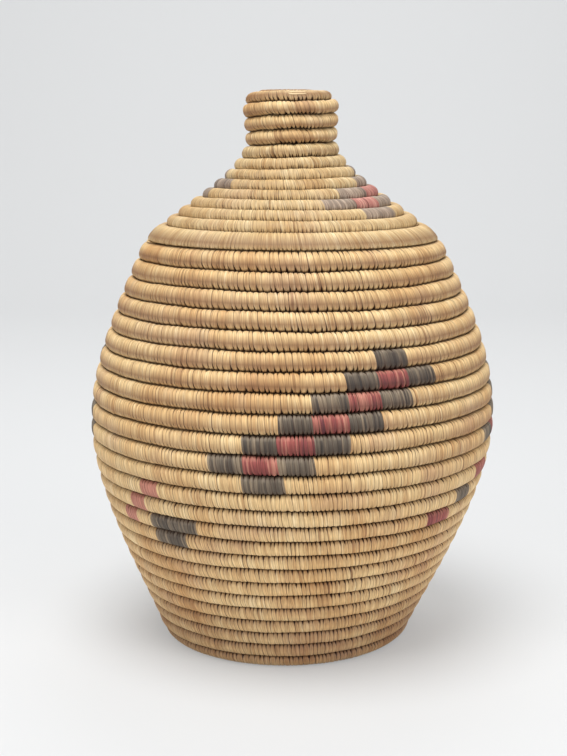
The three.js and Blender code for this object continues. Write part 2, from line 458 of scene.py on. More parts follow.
def face_at(form, along):
    """The outer face at a place along the outline, and the way it faces, in radius and height."""
    outline = form["outline"]
    place, tangent = (
        np.column_stack([np.interp(along, outline["along"], outline[key][:, k]) for k in (0, 1)])
        for key in ("points", "tangents")
    )
    facing = np.column_stack((tangent[:, 1], -tangent[:, 0]))
    if "level_at" in form:
        level = 1 - smoothstep(np.abs(along - form["level_at"]), 0, rim_row_height)[:, None]
        facing = facing * (1 - level) + np.array((1.0, 0.0)) * level
    return place, facing / np.linalg.norm(facing, axis=1)[:, None]


# %% [markdown]
# The strips are laid along the coil next. Each is about 1.2 mm wide. Two or three of them share
# a stitch, and more on the upper wall. Every strip gets a tone of its own, and neighbours are
# often cut from the same leaf, so the tones are also smoothed along the coil into lighter and
# browner stretches. Each coil has its own seeded draws, so every run lays the same strips.

# %% Laying the strips
STRIP_WIDTH = 1.2
WIDTH_VARIES = 0.22
STITCH_SIZES = (2, 2, 2, 3)  # strips to a stitch, one size drawn for each
LEAF_STRETCH = 15  # neighbours whose tones run together
SAMPLES_PER_TURN = 200


def lay_strips(form, first, last, seed):
    rng = np.random.default_rng(seed)
    turns = np.linspace(first, last, int(abs(last - first) * SAMPLES_PER_TURN) + 2)
    low, high = form["seams"](turns)
    radius = face_at(form, (low + high) / 2)[0][:, 0]
    steps = np.pi * (radius[1:] + radius[:-1]) * np.diff(turns)
    length = np.concatenate(([0], np.cumsum(steps)))
    count = int(round(length[-1] / STRIP_WIDTH))
    widths = rng.uniform(1 - WIDTH_VARIES, 1 + WIDTH_VARIES, count)
    edges = np.concatenate(([0], np.cumsum(widths))) / widths.sum() * length[-1]
    edge_turns = np.interp(edges, length, turns)
    starts = np.concatenate(([0], np.cumsum(rng.choice(form.get("stitch_sizes", STITCH_SIZES), count))))
    stitch = np.searchsorted(starts, np.arange(count), side="right") - 1
    own = rng.normal(0, 1, count)
    leaf = np.convolve(rng.normal(0, 1, count + LEAF_STRETCH - 1), np.hanning(LEAF_STRETCH), "valid")
    leaf /= leaf.std()
    return {
        "count": count,
        "length": length[-1],
        "edges": edge_turns,
        "stitch": stitch,
        "stitch_starts": starts[:stitch[-1] + 2],
        "own": own,
        "leaf": leaf,
        "rng": rng,
    }


# %% [markdown]
# Between two strips lies a groove, and between two stitches a bite, where the strips part and the
# work shows dark. A stitch swells between its bites like a small pad. No two are alike, so how
# far strips part, how full a stitch is, how deep a bite is, where a strip ends at the seam, how
# it slants and how far its tip is worn and given a painted highlight are each drawn within a range.

# %% What changes from strip to strip
STRIP_GROOVE = 0.12  # millimetres, as are the next two
STITCH_SWELL = 0.17
UNEVEN_ENDS = 0.28
OPEN_BITES = 0.1  # the share of bites that stand wide open
STRIP_PARTING = (0.35, 0.75)
BITE_PARTING = (0.85, 1.2)
OPEN_PARTING = 1.3
PAD_FULLNESS = (0.5, 1.3)
BITE_STRENGTH = (0.4, 1.3)
STRIP_SHORTFALL = (-0.4, 0.8)  # a strip's middle, where the sides fall short by a whole one
SLANT_VARIES = 0.25
# How strongly a tip is worn pale and given a painted highlight
TIP_WEAR_AND_HIGHLIGHT = (0.1, 0.9)


def ring_values(strips):
    """What changes from ring to ring: even rings lie between two strips, odd rings on a strip."""
    count, stitch, rng = strips["count"], strips["stitch"], strips["rng"]
    ring = np.arange(2 * count + 1)
    strip = np.minimum(ring // 2, count - 1)
    edges = strips["edges"]
    turns = np.where(ring % 2, (edges[strip] + edges[strip + 1]) / 2, edges[ring // 2])
    starts = strips["stitch_starts"]
    between = ring % 2 == 0
    bite = between & np.isin(ring // 2, starts)
    bite[[0, -1]] = False
    begin, end = starts[stitch[strip]], starts[stitch[strip] + 1]
    phase = np.clip((ring / 2 - begin) / (end - begin), 0, 1)
    parting = np.where(between, rng.uniform(*STRIP_PARTING, ring.size), 0)
    parting[bite] = rng.uniform(*BITE_PARTING, bite.sum())
    parting[bite & (rng.random(ring.size) < OPEN_BITES)] = OPEN_PARTING
    fullness = rng.uniform(*PAD_FULLNESS, starts.size)[stitch[strip]]
    relief = STITCH_SWELL * fullness * np.sin(np.pi * phase) - STRIP_GROOVE * parting
    strength = rng.uniform(*BITE_STRENGTH, ring.size)
    uneven = np.where(between, 1.0, rng.uniform(*STRIP_SHORTFALL, ring.size)) * UNEVEN_ENDS
    slant = rng.normal(0, SLANT_VARIES, starts.size)[stitch[strip]]
    worn_and_lit = rng.uniform(*TIP_WEAR_AND_HIGHLIGHT, count)[strip]
    return {
        "turns": turns, "relief": relief, "bite": bite * strength, "phase": phase,
        "parting": parting, "uneven": uneven, "slant": slant, "worn_and_lit": worn_and_lit,
    }


# %% [markdown]
# A coil's section is a rounded oblong from seam to seam. The binding is modelled as one grid,
# two rows of faces to a strip, which is rolled round the bundle: its long edges meet at the lower
# seam and are welded. The last side is narrow. It joins the smooth inner face to the outer one,
# whose strips end in an uneven line along the seam. Every strip could be a piece of its own, but
# the flanks between them would never be seen. A survey of the grid first finds, for each point,
# its strip, its place in the section, how full the coil is there and how deep its bites are.

# %% The section of a coil
OUTER_SIDES = 10
INNER_SIDES = 5
SIDES = OUTER_SIDES + INNER_SIDES + 1
FULL_ROW = 0.8 * FOOT_ROW_HEIGHT  # a lower row is a taper, and its ridge and bites shrink
BITE_REACH = (0.5, 1.0)  # in lift, from inside the row to its seam


def section_points(side, squareness):
    """Lift runs from -1 at the lower seam to 1 at the upper, swell from -1 inside to 1 outside."""
    angle = np.radians(np.interp(side, (0, OUTER_SIDES, OUTER_SIDES + INNER_SIDES), (-90, 90, 270)))
    lift = np.sign(np.sin(angle)) * np.abs(np.sin(angle)) ** (2 / squareness)
    swell = np.sign(np.cos(angle)) * np.abs(np.cos(angle)) ** (2 / squareness)
    return lift, swell


def survey_grid(form, strips, grid):
    """All that is known at each point of a flat grid before the point is placed."""
    ring = np.rint((grid[:, 0] + 1) * strips["count"]).astype(int)
    side = np.rint((grid[:, 1] + 1) / 2 * SIDES) % SIDES
    at = {key: values[ring] for key, values in ring_values(strips).items()}
    at["low"], at["high"] = form["seams"](at["turns"])
    lift, swell = section_points(side, form["squareness"])
    # The bites and the painted shade that the form gives at these turns
    wear = form["wear"](at["turns"])
    low_edge = wear["low_bites"] * smoothstep(-lift, *BITE_REACH)
    high_edge = wear["high_bites"] * smoothstep(lift, *BITE_REACH)
    outside = side <= OUTER_SIDES
    fullness = np.minimum((at["high"] - at["low"]) / FULL_ROW, 1)
    at.update(lift=lift, swell=swell, wear=wear, outside=outside, fullness=fullness)
    at["at_edge"] = low_edge + high_edge
    at["bite"] = at["bite"] * at["at_edge"] * outside * fullness
    return at


# %% [markdown]
# Now every point gets its place on the coil. A strip's middle stands out and its sides lie in a
# groove. At a bite the edge of the coil is drawn in and its strips spread, so its teeth catch
# real shadow. A bump map would be lighter, but it would leave the rows with smooth edges. No
# point goes below the floor, so the coil that is stood on is flat underneath. Depths are in
# millimetres, and what a name calls a reach or a fade is in lift or in swell.

# %% Placing the points
SEAM_DEPTH = 6.0  # the coil's thickness at its seams
BITE_DEPTH = 1.2
BITE_DRAWN_IN = 0.55
BITE_SPREAD = 0.35
RELIEF_REACH = 0.35  # how far round the coil the grooves and pads go
FRAY_REACH = (0.5, 1.0)
SCALLOP = 0.5  # how far the ends of a stitch's outer strips are rounded off
SCALLOP_FADES = (0, 0.4)
SCALLOP_REACH = 0.8
SNUG = 1.02  # of the height, so that neighbouring turns press together
STRIP_SLANT = -0.8
SHORTEST_TURN = 8.0  # where a spiral starts its turns are too short to divide by


def place_points(form, at):
    lift, swell, outside, fullness = (at[key] for key in ("lift", "swell", "outside", "fullness"))
    thickness = form.get("thickness", SEAM_DEPTH)
    ridge = np.where(outside, form.get("outer_ridge", RIDGE), form.get("inner_ridge", RIDGE)) * fullness
    relief = at["relief"] * outside * fullness * np.clip(swell + RELIEF_REACH, 0, 1)
    depth = -thickness / 2 + swell * (thickness / 2 + ridge)
    depth += relief - BITE_DEPTH * at["bite"]

    scallop = SCALLOP * (2 * at["phase"] - 1) ** 2 * smoothstep(swell, *SCALLOP_FADES)
    scallop *= np.abs(lift) > SCALLOP_REACH
    frayed = (at["uneven"] * smoothstep(np.abs(lift), *FRAY_REACH) + scallop) * outside * fullness
    half, middle = (at["high"] - at["low"]) / 2, (at["high"] + at["low"]) / 2
    rise = lift * (half * SNUG - BITE_DRAWN_IN * at["bite"] - frayed)
    place, facing = face_at(form, middle + rise)
    radius, height = (place + facing * depth[:, None]).T

    spread = -BITE_SPREAD * (at["phase"] - 0.5) * 2 * at["at_edge"] * outside
    slant = form.get("slant", STRIP_SLANT) + at["slant"]
    sideways = (spread + slant * lift) / np.maximum(2 * np.pi * radius, SHORTEST_TURN)
    return swung(radius, np.maximum(height, 0), at["turns"] + sideways) * MM


# %% [markdown]
# The seams and the bites get dirt, with painted shade that deepens their shadow, and a dark line
# is painted where two strips part, as the shadow of the groove between them. High on the wall and
# on the lid the lower half of a row is darker, a painted shade of the light from above; low on the
# wall the upper half is darker, a painted shadow of the row above, and the lowest turns are darker
# as well. The tips of dyed strips go pale near the upper seam, by wear and a painted highlight. A
# texture for each would have to be aligned with the coil. Here they are values on its points,
# which fade from one to the next. A reach or a half is in lift, from -1 at the lower seam to 1 at
# the upper.

# %% Dirt, wear, painted shade and painted highlight
# Dirt in the bites and seams, with painted shade that deepens their shadow
BITE_DIRT_AND_SHADE = 0.25
SEAM_DIRT_AND_SHADE = 0.72
SEAM_DIRT_AND_SHADE_REACH = (0.86, 1.0)
# LINE_SHADE and BITE_SHADE paint the shadow of the grooves between strips and of the bites
LINE_SHADE = (0.82, 1.07)  # without a bite and with one
BITE_SHADE = 0.9
# Painted shade on a row's lower half, from the light above, fading near its lower seam
LOWER_HALF = (-0.2, 0.2)
LOWER_SEAM_REACH = (0.45, 1.0)
LOWER_SEAM_PAINTED_SHADE = (1, 0.1)  # before that reach and at the seam
# Painted shadow of the row above, on the upper half of a low row
UPPER_HALF = (-0.2, 0.8)
# Worn tips of dyed strips, with a painted highlight from above
TIP_WEAR_AND_HIGHLIGHT_REACH = (0.3, 0.9)


def mark_points(form, at):
    lift, outside, wear = at["lift"], at["outside"], at["wear"]
    # Dirt with painted shade in the bites and the seams
    bitten = BITE_DIRT_AND_SHADE * at["at_edge"] * at["fullness"]
    seam = SEAM_DIRT_AND_SHADE * smoothstep(np.abs(lift), *SEAM_DIRT_AND_SHADE_REACH)
    # A dark line painted where two strips part, as the shadow of the groove between them
    line = at["parting"] * form.get("parting", 1.0) * blend(LINE_SHADE, at["at_edge"])
    # Painted shade on one half of each row, and the darker lowest turns
    near_seam = smoothstep(-lift, *LOWER_SEAM_REACH)
    lower = smoothstep(-lift, *LOWER_HALF) * blend(LOWER_SEAM_PAINTED_SHADE, near_seam)
    painted_shade_and_dark_foot = wear["lower_painted_shade"] * lower + wear["upper_painted_shade"] * smoothstep(lift, *UPPER_HALF)
    return {
        "gap": np.clip((bitten + seam) * outside, 0, 1),
        "parting": (line + BITE_SHADE * at["bite"]) * outside,
        "painted_shade_and_dark_foot": np.clip(painted_shade_and_dark_foot + wear["foot_darkening"], 0, 1) * outside,
        # Tips of dyed strips go pale near the upper seam: wear and a painted highlight
        "tip_wear_and_highlight": at["worn_and_lit"] * smoothstep(lift, *TIP_WEAR_AND_HIGHLIGHT_REACH) * outside,
    }


# %% [markdown]
# What the eye reads as pattern is the dyed binding. On the basket four bands of grey and red
# blocks climb to the right, one block to a row, each red block framed in grey. Between and below
# them stand smaller figures. The lid has a stepped figure on its shoulder. A maker counts such a
# pattern row by row, so it is written as a chart and not painted: a block is a stretch of azimuth
# in degrees, from the front and positive to the right, in one row counted from the top.

# %% The chart of dyed blocks
BROWN, NATURAL, GREY, RED, PALE_RED = -1.0, 0.0, 1.0, 2.0, 3.0
BAND_TOP_ROW = 7
BAND_BOTTOM_ROW = 11
BAND_STARTS = -12.9
BAND_STEP = 8.9
BLOCK = 9.3
CAP_OVERHANG = 0.5
TOE_OVERHANG = 1.5
BANDS = (0, 88, 166, -125)
FADED_TOE = 88  # the band whose lowest block doesn't show


def stepped_band(turned):
    blocks = []
    for row in range(BAND_TOP_ROW, BAND_BOTTOM_ROW + 1):
        start = turned + BAND_STARTS + BAND_STEP * (BAND_BOTTOM_ROW - row)
        blocks.append((row, start - BLOCK, start, GREY))
        blocks.append((row, start, start + BLOCK, RED))
        blocks.append((row, start + BLOCK, start + 2 * BLOCK, GREY))
    top = turned + BAND_STARTS + BAND_STEP * (BAND_BOTTOM_ROW - BAND_TOP_ROW)
    blocks.append((BAND_TOP_ROW - 1, top, top + BLOCK + CAP_OVERHANG, GREY))
    if turned != FADED_TOE:
        toe = turned + BAND_STARTS
        blocks.append((BAND_BOTTOM_ROW + 1, toe, toe + BLOCK + TOE_OVERHANG, GREY))
    return blocks


LEFT_FIGURE = (
    (13, -45.5, -38.7, PALE_RED), (14, -51.0, -45.0, PALE_RED), (15, -56.5, -50.0, PALE_RED),
    (15, -44.0, -27.3, GREY), (16, -43.0, -31.0, GREY),
)
LEFT_EDGE_FIGURE = ((10, -98.0, -76.5, GREY), (11, -98.0, -75.5, GREY))
RIGHT_EDGE_FIGURE = ((8, 82.0, 92.0, GREY), (9, 77.5, 84.0, GREY))
RIGHT_FIGURE = ((15, 42.5, 52.5, RED), (14, 54.0, 62.5, GREY), (13, 63.5, 76.0, RED))
BROWN_PATCH = ((19, 11.0, 14.0, BROWN), (20, 8.0, 15.0, BROWN), (21, 7.0, 9.0, BROWN))
basket_chart = [block for turned in BANDS for block in stepped_band(turned)]
basket_chart += LEFT_EDGE_FIGURE + RIGHT_EDGE_FIGURE + BROWN_PATCH
basket_chart += LEFT_FIGURE + RIGHT_FIGURE
for turned, figure in ((180, LEFT_FIGURE), (-180, RIGHT_FIGURE)):
    basket_chart += [(row, start + turned, end + turned, dye) for row, start, end, dye in figure]

LID_FIGURE = (
    (7, 74.0, 96.0, GREY), (8, 57.0, 92.0, GREY), (9, 31.0, 55.5, GREY), (9, 55.5, 94.0, RED),
    (9, 94.0, 112.0, GREY), (10, 17.0, 38.0, GREY), (10, 38.0, 56.5, RED), (10, 56.5, 86.0, GREY),
    (11, 38.0, 62.0, GREY),
)
LID_BACK_FIGURE = (
    (7, -104.0, -76.0, GREY), (8, -120.0, -52.0, GREY), (9, -135.0, -112.0, RED),
    (9, -112.0, -69.0, GREY), (10, -152.0, -130.0, GREY), (10, -130.0, -104.0, RED),
    (11, -140.0, -118.0, GREY),
)
LID_BROWN_PATCHES = ((2, 4.0, 29.0, BROWN), (4, -21.0, 28.0, BROWN))
lid_chart = LID_FIGURE + LID_BACK_FIGURE + LID_BROWN_PATCHES
print(len(basket_chart), "dyed blocks on the basket,", len(lid_chart), "on the lid")


def dye_strips(chart, top_row, turns):
    """The dye of strips at these turn counts, looked up in a chart of blocks."""
    dye = np.full(turns.shape, NATURAL)
    for row, start, end, kind in chart:
        front = top_row - row + 0.5
        dye[(turns >= front + start / 360) & (turns < front + end / 360)] = kind
    return dye


# %% [markdown]
# Tone and dye belong to a whole strip, so they are stored on faces, where they keep a hard edge
# from strip to strip. The dirt and painted shade in the gaps belong to points, and fade. The UV map
# gives metres along the coil and round the section, for the fibre that runs along each strip. A
# few strips are much browner than the rest, and each turn is a touch lighter or darker.

# %% Painting the strips' attributes
MIDDLE_TONE = 0.45
OWN_TONE = 0.085
LEAF_TONE = 0.05
ROW_TONE = 0.04
ROW_TONE_STEP = 2.1
ROW_TONE_SHIFT = 0.6
BROWN_STRIPS = 0.02
BROWN_STRIP_TONE = (0.15, 0.4)
BROWN_PATCH_TONE = 0.28
PALE_RED_TONE = 0.45
SECTION_GIRTH = 2 * (FOOT_ROW_HEIGHT + SEAM_DEPTH + RIDGE)


def paint_strips(mesh, form, strips):
    edges = strips["edges"]
    turns = (edges[1:] + edges[:-1]) / 2
    rng = strips["rng"]
    row_tone = np.sin(ROW_TONE_STEP * np.floor(turns) + ROW_TONE_SHIFT) * ROW_TONE
    tone = MIDDLE_TONE + OWN_TONE * strips["own"] + LEAF_TONE * strips["leaf"] + row_tone
    is_brown = rng.random(turns.size) < BROWN_STRIPS
    tone += np.where(is_brown, rng.uniform(*BROWN_STRIP_TONE, turns.size), 0)
    dye = dye_strips(*form["chart"], turns) if "chart" in form else np.full(turns.shape, NATURAL)
    tone += BROWN_PATCH_TONE * (dye == BROWN) - PALE_RED_TONE * (dye == PALE_RED)
    strip = np.zeros(len(mesh.polygons), np.int32)
    mesh.attributes["strip"].data.foreach_get("value", strip)
    for name, values in (("tone", np.clip(tone, 0, 1)), ("dye", dye)):
        layer = mesh.attributes.new(name, "FLOAT", "FACE")
        layer.data.foreach_set("value", values[strip].astype(np.float32))
    mesh.attributes.remove(mesh.attributes["strip"])
    uv = np.zeros(len(mesh.loops) * 2, np.float32)
    layer = mesh.uv_layers["wrap"]
    layer.data.foreach_get("uv", uv)
    uv = (uv.reshape(-1, 2) * np.array((strips["length"], SECTION_GIRTH)) * MM).astype(np.float32)
    layer.data.foreach_set("uv", uv.ravel())


# %% [markdown]
# One function now makes a bound coil: it lays the strips, makes a flat grid for them, rolls it
# round the bundle, welds its long edges, caps its two ends and paints it. The grid's UV map and
# the number of each face's strip are kept from when the grid is still flat and easy to read.

# %% Rolling a grid of strips into a coil
LONG_EDGE = 0.999
WELD = 1e-6


def roll_coil(name, form, first, last, seed):
    strips = lay_strips(form, first, last, seed)
    bm = bmesh.new()
    bm.loops.layers.uv.new("wrap")
    bmesh.ops.create_grid(bm, x_segments=2 * strips["count"], y_segments=SIDES, size=1.0, calc_uvs=True)
    strip_of = bm.faces.layers.int.new("strip")
    for face in bm.faces:
        share = (face.calc_center_median().x + 1) / 2
        face[strip_of] = min(int(share * strips["count"]), strips["count"] - 1)
    grid = np.array([vert.co[:2] for vert in bm.verts])
    at = survey_grid(form, strips, grid)
    for vert, point in zip(bm.verts, place_points(form, at).tolist()):
        vert.co = point
    for mark, values in mark_points(form, at).items():
        layer = bm.verts.layers.float.new(mark)
        for vert, value in zip(bm.verts, values.tolist()):
            vert[layer] = value
    long_edges = [vert for vert, row in zip(bm.verts, grid[:, 1]) if abs(row) > LONG_EDGE]
    bmesh.ops.remove_doubles(bm, verts=long_edges, dist=WELD)
    for face in bm.faces:
        face.smooth = True
    bmesh.ops.holes_fill(bm, edges=[edge for edge in bm.edges if edge.is_boundary], sides=SIDES + 1)
    bmesh.ops.recalc_face_normals(bm, faces=bm.faces)
    coil = object_of(bm, name)
    paint_strips(coil.data, form, strips)
    return coil


# %% [markdown]
# The strips are split palm leaf: dry, matt, with a faint gloss along the fibre. A noise stretched
# along each strip draws fibres about half a millimetre wide, a little coarser than they are so
# that they show. Two slow noises over the whole basket say where the leaf has aged and where it
# is stained. A picture of leaf could do this too, but it would have edges and would repeat.

# %% Fibre, age and stains
FIBRE_WIDTH = 0.55 * MM
FIBRE_LENGTH = 9.0 * MM
AGE_PATCH = {"size": 45.0 * MM, "detail": 3.0, "starts": 0.45, "full": 0.75, "share": 0.7}
STAIN_PATCH = {"size": 28.0 * MM, "detail": 4.0, "starts": 0.5, "full": 0.75, "share": 0.4}


def leaf_patterns(tree):
    """The fibre, and how far the leaf has aged and is stained, as sockets."""
    wrap = add(tree, "ShaderNodeUVMap", uv_map="wrap").outputs["UV"]
    stretch = add(tree, "ShaderNodeMapping",
                  {"Vector": wrap, "Scale": (1 / FIBRE_WIDTH, 1 / FIBRE_LENGTH, 1)})
    fibre = add(tree, "ShaderNodeTexNoise",
                {"Vector": stretch.outputs["Vector"], "Scale": 1.0, "Detail": 2.0}).outputs["Fac"]
    place = add(tree, "ShaderNodeTexCoord").outputs["Object"]
    shares = []
    for patch in (AGE_PATCH, STAIN_PATCH):
        noise = add(tree, "ShaderNodeTexNoise",
                    {"Vector": place, "Scale": 1 / patch["size"], "Detail": patch["detail"]})
        share = add(tree, "ShaderNodeMapRange", {
            "Value": noise.outputs["Fac"], "From Min": patch["starts"], "From Max": patch["full"],
            "To Min": 0.0, "To Max": patch["share"],
        })
        shares.append(share.outputs["Result"])
    return fibre, *shares


# %% [markdown]
# The grey and the red are vegetable dyes that took unevenly, so a strip's tone runs through them:
# one colour ramp turns the tone into a light, a middle or a dark grey, and another into a red.
# Near the upper seam the tips go towards one pale grey or one pale red: wear and a painted highlight.

# %% Dyed strips
DYE_TONES = (0.25, 0.45, 0.68)
DARK_DYES = (("#97866f", "#655a4c", "#413932"), ("#c68572", "#9b4a45", "#682a33"))
FADED_DYES = (("#cdb9a5", "#a99785", "#7a6d64"), ("#e5ad9c", "#cb887c", "#a2625c"))
# Tip colours, worn pale and with a painted highlight
WORN_AND_LIT_TIP_DYES = ("#a09280", "#cd8976")

# A Mix node's first sockets of these names are for numbers, so the colours go by their places
MIX_A, MIX_B, MIXED = 6, 7, 2


def dyed_colour(tree, tone, is_red, tip_wear_and_highlight, dyes):
    grey, red = (
        add(tree, "ShaderNodeValToRGB", {"Fac": tone}, stops=stops).outputs["Color"]
        for stops in (tuple(zip(DYE_TONES, shades)) for shades in dyes)
    )
    fresh, worn_and_lit = (
        add(tree, "ShaderNodeMix", {"Factor": is_red, MIX_A: when_grey, MIX_B: when_red},
            data_type="RGBA").outputs[MIXED]
        for when_grey, when_red in ((grey, red), map(colour, WORN_AND_LIT_TIP_DYES))
    )
    return add(tree, "ShaderNodeMix", {"Factor": tip_wear_and_highlight, MIX_A: fresh, MIX_B: worn_and_lit},
               data_type="RGBA").outputs[MIXED]


# %% [markdown]
# Undyed, the leaf goes from cream through straw to the brown of its edge, and a strip's tone
# picks the colour. The rest is laid over it layer by layer: age, stains, dye with its worn tips and
# their painted highlight, the grain of the fibre, the painted shade on one half of each row and,
# over them all, the dirt and painted shade in the gaps and the painted shade of grooves between strips.
# Fibres are too fine to model, so a small bump raises them. Its colour is what makes a finish,
# so the typical gloss of dry leaf is the same for all.

# %% The binding's finish
MARKS = ("tone", "dye", "gap", "parting", "painted_shade_and_dark_foot", "tip_wear_and_highlight")
NATURAL_TONES = (0.1, 0.42, 0.7, 1.0)
STAIN = "#c29a80"
FIBRE_STOPS = ((0.3, "#b4ada3"), (0.7, "#ffffff"))
FIBRE_SHARE = 0.8
# Painted shade for one half of a row
PAINTED_ROW_SHADE = "#ae9d97"
# Dirt in the gaps, which also paints the shade of seams, bites and grooves between strips
DIRT_AND_SHADE_IN_GAPS = "#34190c"
# These powers also keep light painted shade faint
GAP_EDGE = 1.6  # powers, which keep light dirt faint
LINE_EDGE = 3.0
BUMP_STRENGTH = 0.6
BUMP_HEIGHT = 0.12 * MM


def palm_strip(name, shades, aged, dyes, gap_dirt_and_shade=DIRT_AND_SHADE_IN_GAPS):
    material, tree = new_material(name)
    tone, dye, gap, parting, painted_shade_and_dark_foot, tip_wear_and_highlight = (
        add(tree, "ShaderNodeAttribute", attribute_name=mark).outputs["Fac"] for mark in MARKS
    )
    fibre, aging, staining = leaf_patterns(tree)
    is_dyed, is_red, dirt_and_shade, line = (
        add(tree, "ShaderNodeMath", {0: value, 1: limit}, operation=kind, use_clamp=True).outputs[0]
        for value, limit, kind in (
            (dye, (NATURAL + GREY) / 2, "GREATER_THAN"),
            (dye, (GREY + RED) / 2, "GREATER_THAN"),
            (gap, GAP_EDGE, "POWER"),
            (parting, LINE_EDGE, "POWER"),
        )
    )
    body, grain = (
        add(tree, "ShaderNodeValToRGB", {"Fac": factor}, stops=stops).outputs["Color"]
        for factor, stops in ((tone, tuple(zip(NATURAL_TONES, shades))), (fibre, FIBRE_STOPS))
    )
    for share, layer, blend_type in (
        (aging, colour(aged), "MULTIPLY"),
        (staining, colour(STAIN), "MIX"),
        (is_dyed, dyed_colour(tree, tone, is_red, tip_wear_and_highlight, dyes), "MIX"),
        (FIBRE_SHARE, grain, "MULTIPLY"),
        # Painted shade on one half of each row, then dirt with painted shade in the gaps and grooves
        (painted_shade_and_dark_foot, colour(PAINTED_ROW_SHADE), "MULTIPLY"),
        (dirt_and_shade, colour(gap_dirt_and_shade), "MIX"),
        (line, colour(gap_dirt_and_shade), "MIX"),
    ):
        body = add(tree, "ShaderNodeMix", {"Factor": share, MIX_A: body, MIX_B: layer},
                   data_type="RGBA", blend_type=blend_type).outputs[MIXED]
    relief = add(tree, "ShaderNodeMath", {0: fibre, 1: line}, operation="SUBTRACT").outputs[0]
    bump = add(tree, "ShaderNodeBump",
               {"Height": relief, "Strength": BUMP_STRENGTH, "Distance": BUMP_HEIGHT})
    shader = add(tree, "ShaderNodeBsdfPrincipled", {
        "Base Color": body, "Normal": bump.outputs["Normal"], "Roughness": 0.62, "IOR": 1.45,
    })
    add(tree, "ShaderNodeOutputMaterial", {"Surface": shader.outputs[0]})
    return material


# %% [markdown]
# The same leaf has aged in three ways. On the wall, the neck and the crown it is straw. On the
# lid's edge and slope the sun has bleached it and its dyes. On the base and the ring, where it
# rubs, it has gone dull. So one function makes three finishes from three sets of colours.

# %% The three finishes
straw_strip = palm_strip(
    "palm_leaf_strip", ("#f9e1b2", "#eccb94", "#d9b17b", "#956e47"), "#dfc09b", DARK_DYES,
)
# The bleached leaf has lighter dirt and painted shade in its gaps
pale_strip = palm_strip(
    "sun_bleached_palm_leaf_strip", ("#f3e1b7", "#e8cd9a", "#d6b37d", "#977446"), "#ddc5a1",
    FADED_DYES, gap_dirt_and_shade="#4e3322",
)
dull_strip = palm_strip(
    "handled_palm_leaf_strip", ("#dac29a", "#c8a97f", "#b38f66", "#7f6044"), "#cfb79c", DARK_DYES,
)
print("finishes", straw_strip.name, pale_strip.name, dull_strip.name)

# %% [markdown]
# The basket is one coil from the middle of its base to its rim, in the lengths that the CAD model
# gives it, the longest of them in two. Low on the wall the bites show along the top of each row,
# and above the belly along the bottom, because the eye looks down into the seams there. Towards
# the rim the lower half of each row is darker, a painted shade of the light from above. Low on the
# wall the upper half is darker, a painted shadow of the row above, and the lowest turns are darker.

# %% The basket
WIDE_STITCH_SIZES = (2, 3, 3, 3, 4)
LOW_BITES = (0.15, 1.0)  # low on the wall and above the belly, as are the next two
HIGH_BITES = (1.0, 0.45)
# Painted shadow of the row above, on the upper half of low rows
UPPER_PAINTED_SHADE = (0.45, 0.0)
# The lowest turns are darker
FOOT_DARKENING = (0.5, 0.0)
WEAR_TURNS_OVER = (9, 15)  # turns, as are the next two
# Painted shade on the lower half of rows, growing towards the rim
LOWER_PAINTED_SHADE_GROWS = (10, 19.5)
FOOT_DARKENING_FADES = (0.5, 6.5)
SEED_STEP = 100


# Bites, painted shade on row halves and the darker lowest turns, turn by turn
def basket_wear(turns):
    high_up = smoothstep(turns, *WEAR_TURNS_OVER)
    return {
        "low_bites": blend(LOW_BITES, high_up),
        "high_bites": blend(HIGH_BITES, high_up),
        "lower_painted_shade": smoothstep(turns, *LOWER_PAINTED_SHADE_GROWS),
        "upper_painted_shade": blend(UPPER_PAINTED_SHADE, high_up),
        "foot_darkening": blend(FOOT_DARKENING, smoothstep(turns, *FOOT_DARKENING_FADES)),
    }


wall = spiral(
    basket, basket_seam, COIL_START, basket["length"],
    level_at=basket["length"], wear=basket_wear, chart=(basket_chart, WALL_ROWS), squareness=2.7,
)
upper_wall = {**wall, "stitch_sizes": WIDE_STITCH_SIZES}
wall_forms = {name: upper_wall for name in ("upper_wall_binding", "top_wall_binding", "rim_binding")}
base_start = free_end(wall, 0.0, -1)
rim_end = free_end(wall, WALL_ROWS - 1.0, 1, FINEST_END)
BASKET_COILS = (
    ("base_binding", "base_coil", base_start, 0, dull_strip, "dull_straw"),
    ("foot_binding", "foot_coil", 0, 3, straw_strip, "dull_straw"),
    ("lower_wall_binding", "lower_wall_coil", 3, 6.5, straw_strip, "straw"),
    ("middle_wall_binding", "lower_wall_coil", 6.5, 10, straw_strip, "straw"),
    ("lower_belly_binding", "belly_coil", 10, 14, straw_strip, "straw"),
    ("upper_belly_binding", "belly_coil", 14, 18, straw_strip, "straw"),
    ("upper_wall_binding", "upper_wall_coil", 18, 21, straw_strip, "straw"),
    ("top_wall_binding", "upper_wall_coil", 21, 24, straw_strip, "straw"),
    ("rim_binding", "rim_coil", 24, rim_end, straw_strip, "straw"),
)


def dress(coils, form_of, body):
    for number, (name, node, first, last, material, slot) in enumerate(coils):
        coil = roll_coil(name, form_of(name), first, last, seed=len(name) * SEED_STEP + number)
        coil.data.materials.append(material)
        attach(coil, body)
        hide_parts(node)
        print(name, "faces", len(coil.data.polygons))


dress(BASKET_COILS, lambda name: wall_forms.get(name, wall), "basket")

# %% [markdown]
# The lid starts with one thick turn, bound more smoothly than the rest, which sits on the rim.
# Under it hangs the ring that keeps the lid central. Above it the coil climbs to the neck and
# closes over the crown. Its rows bulge more than the basket's, and their bites are small dots
# that grow to teeth on the neck, where the strips also slant the most. The lower half of each
# row is darker, a painted shade of the light from above, most on the edge, the ring and the neck.

# %% The lid
SMALL_STITCH_SIZES = (1, 1, 2, 2)
NECK_SLANT = -1.3
NECK_BEGINS = (6, 9)
LID_LOW_BITES = (0.4, 1.5)  # on the slope and on the neck
LID_HIGH_BITES = 0.2
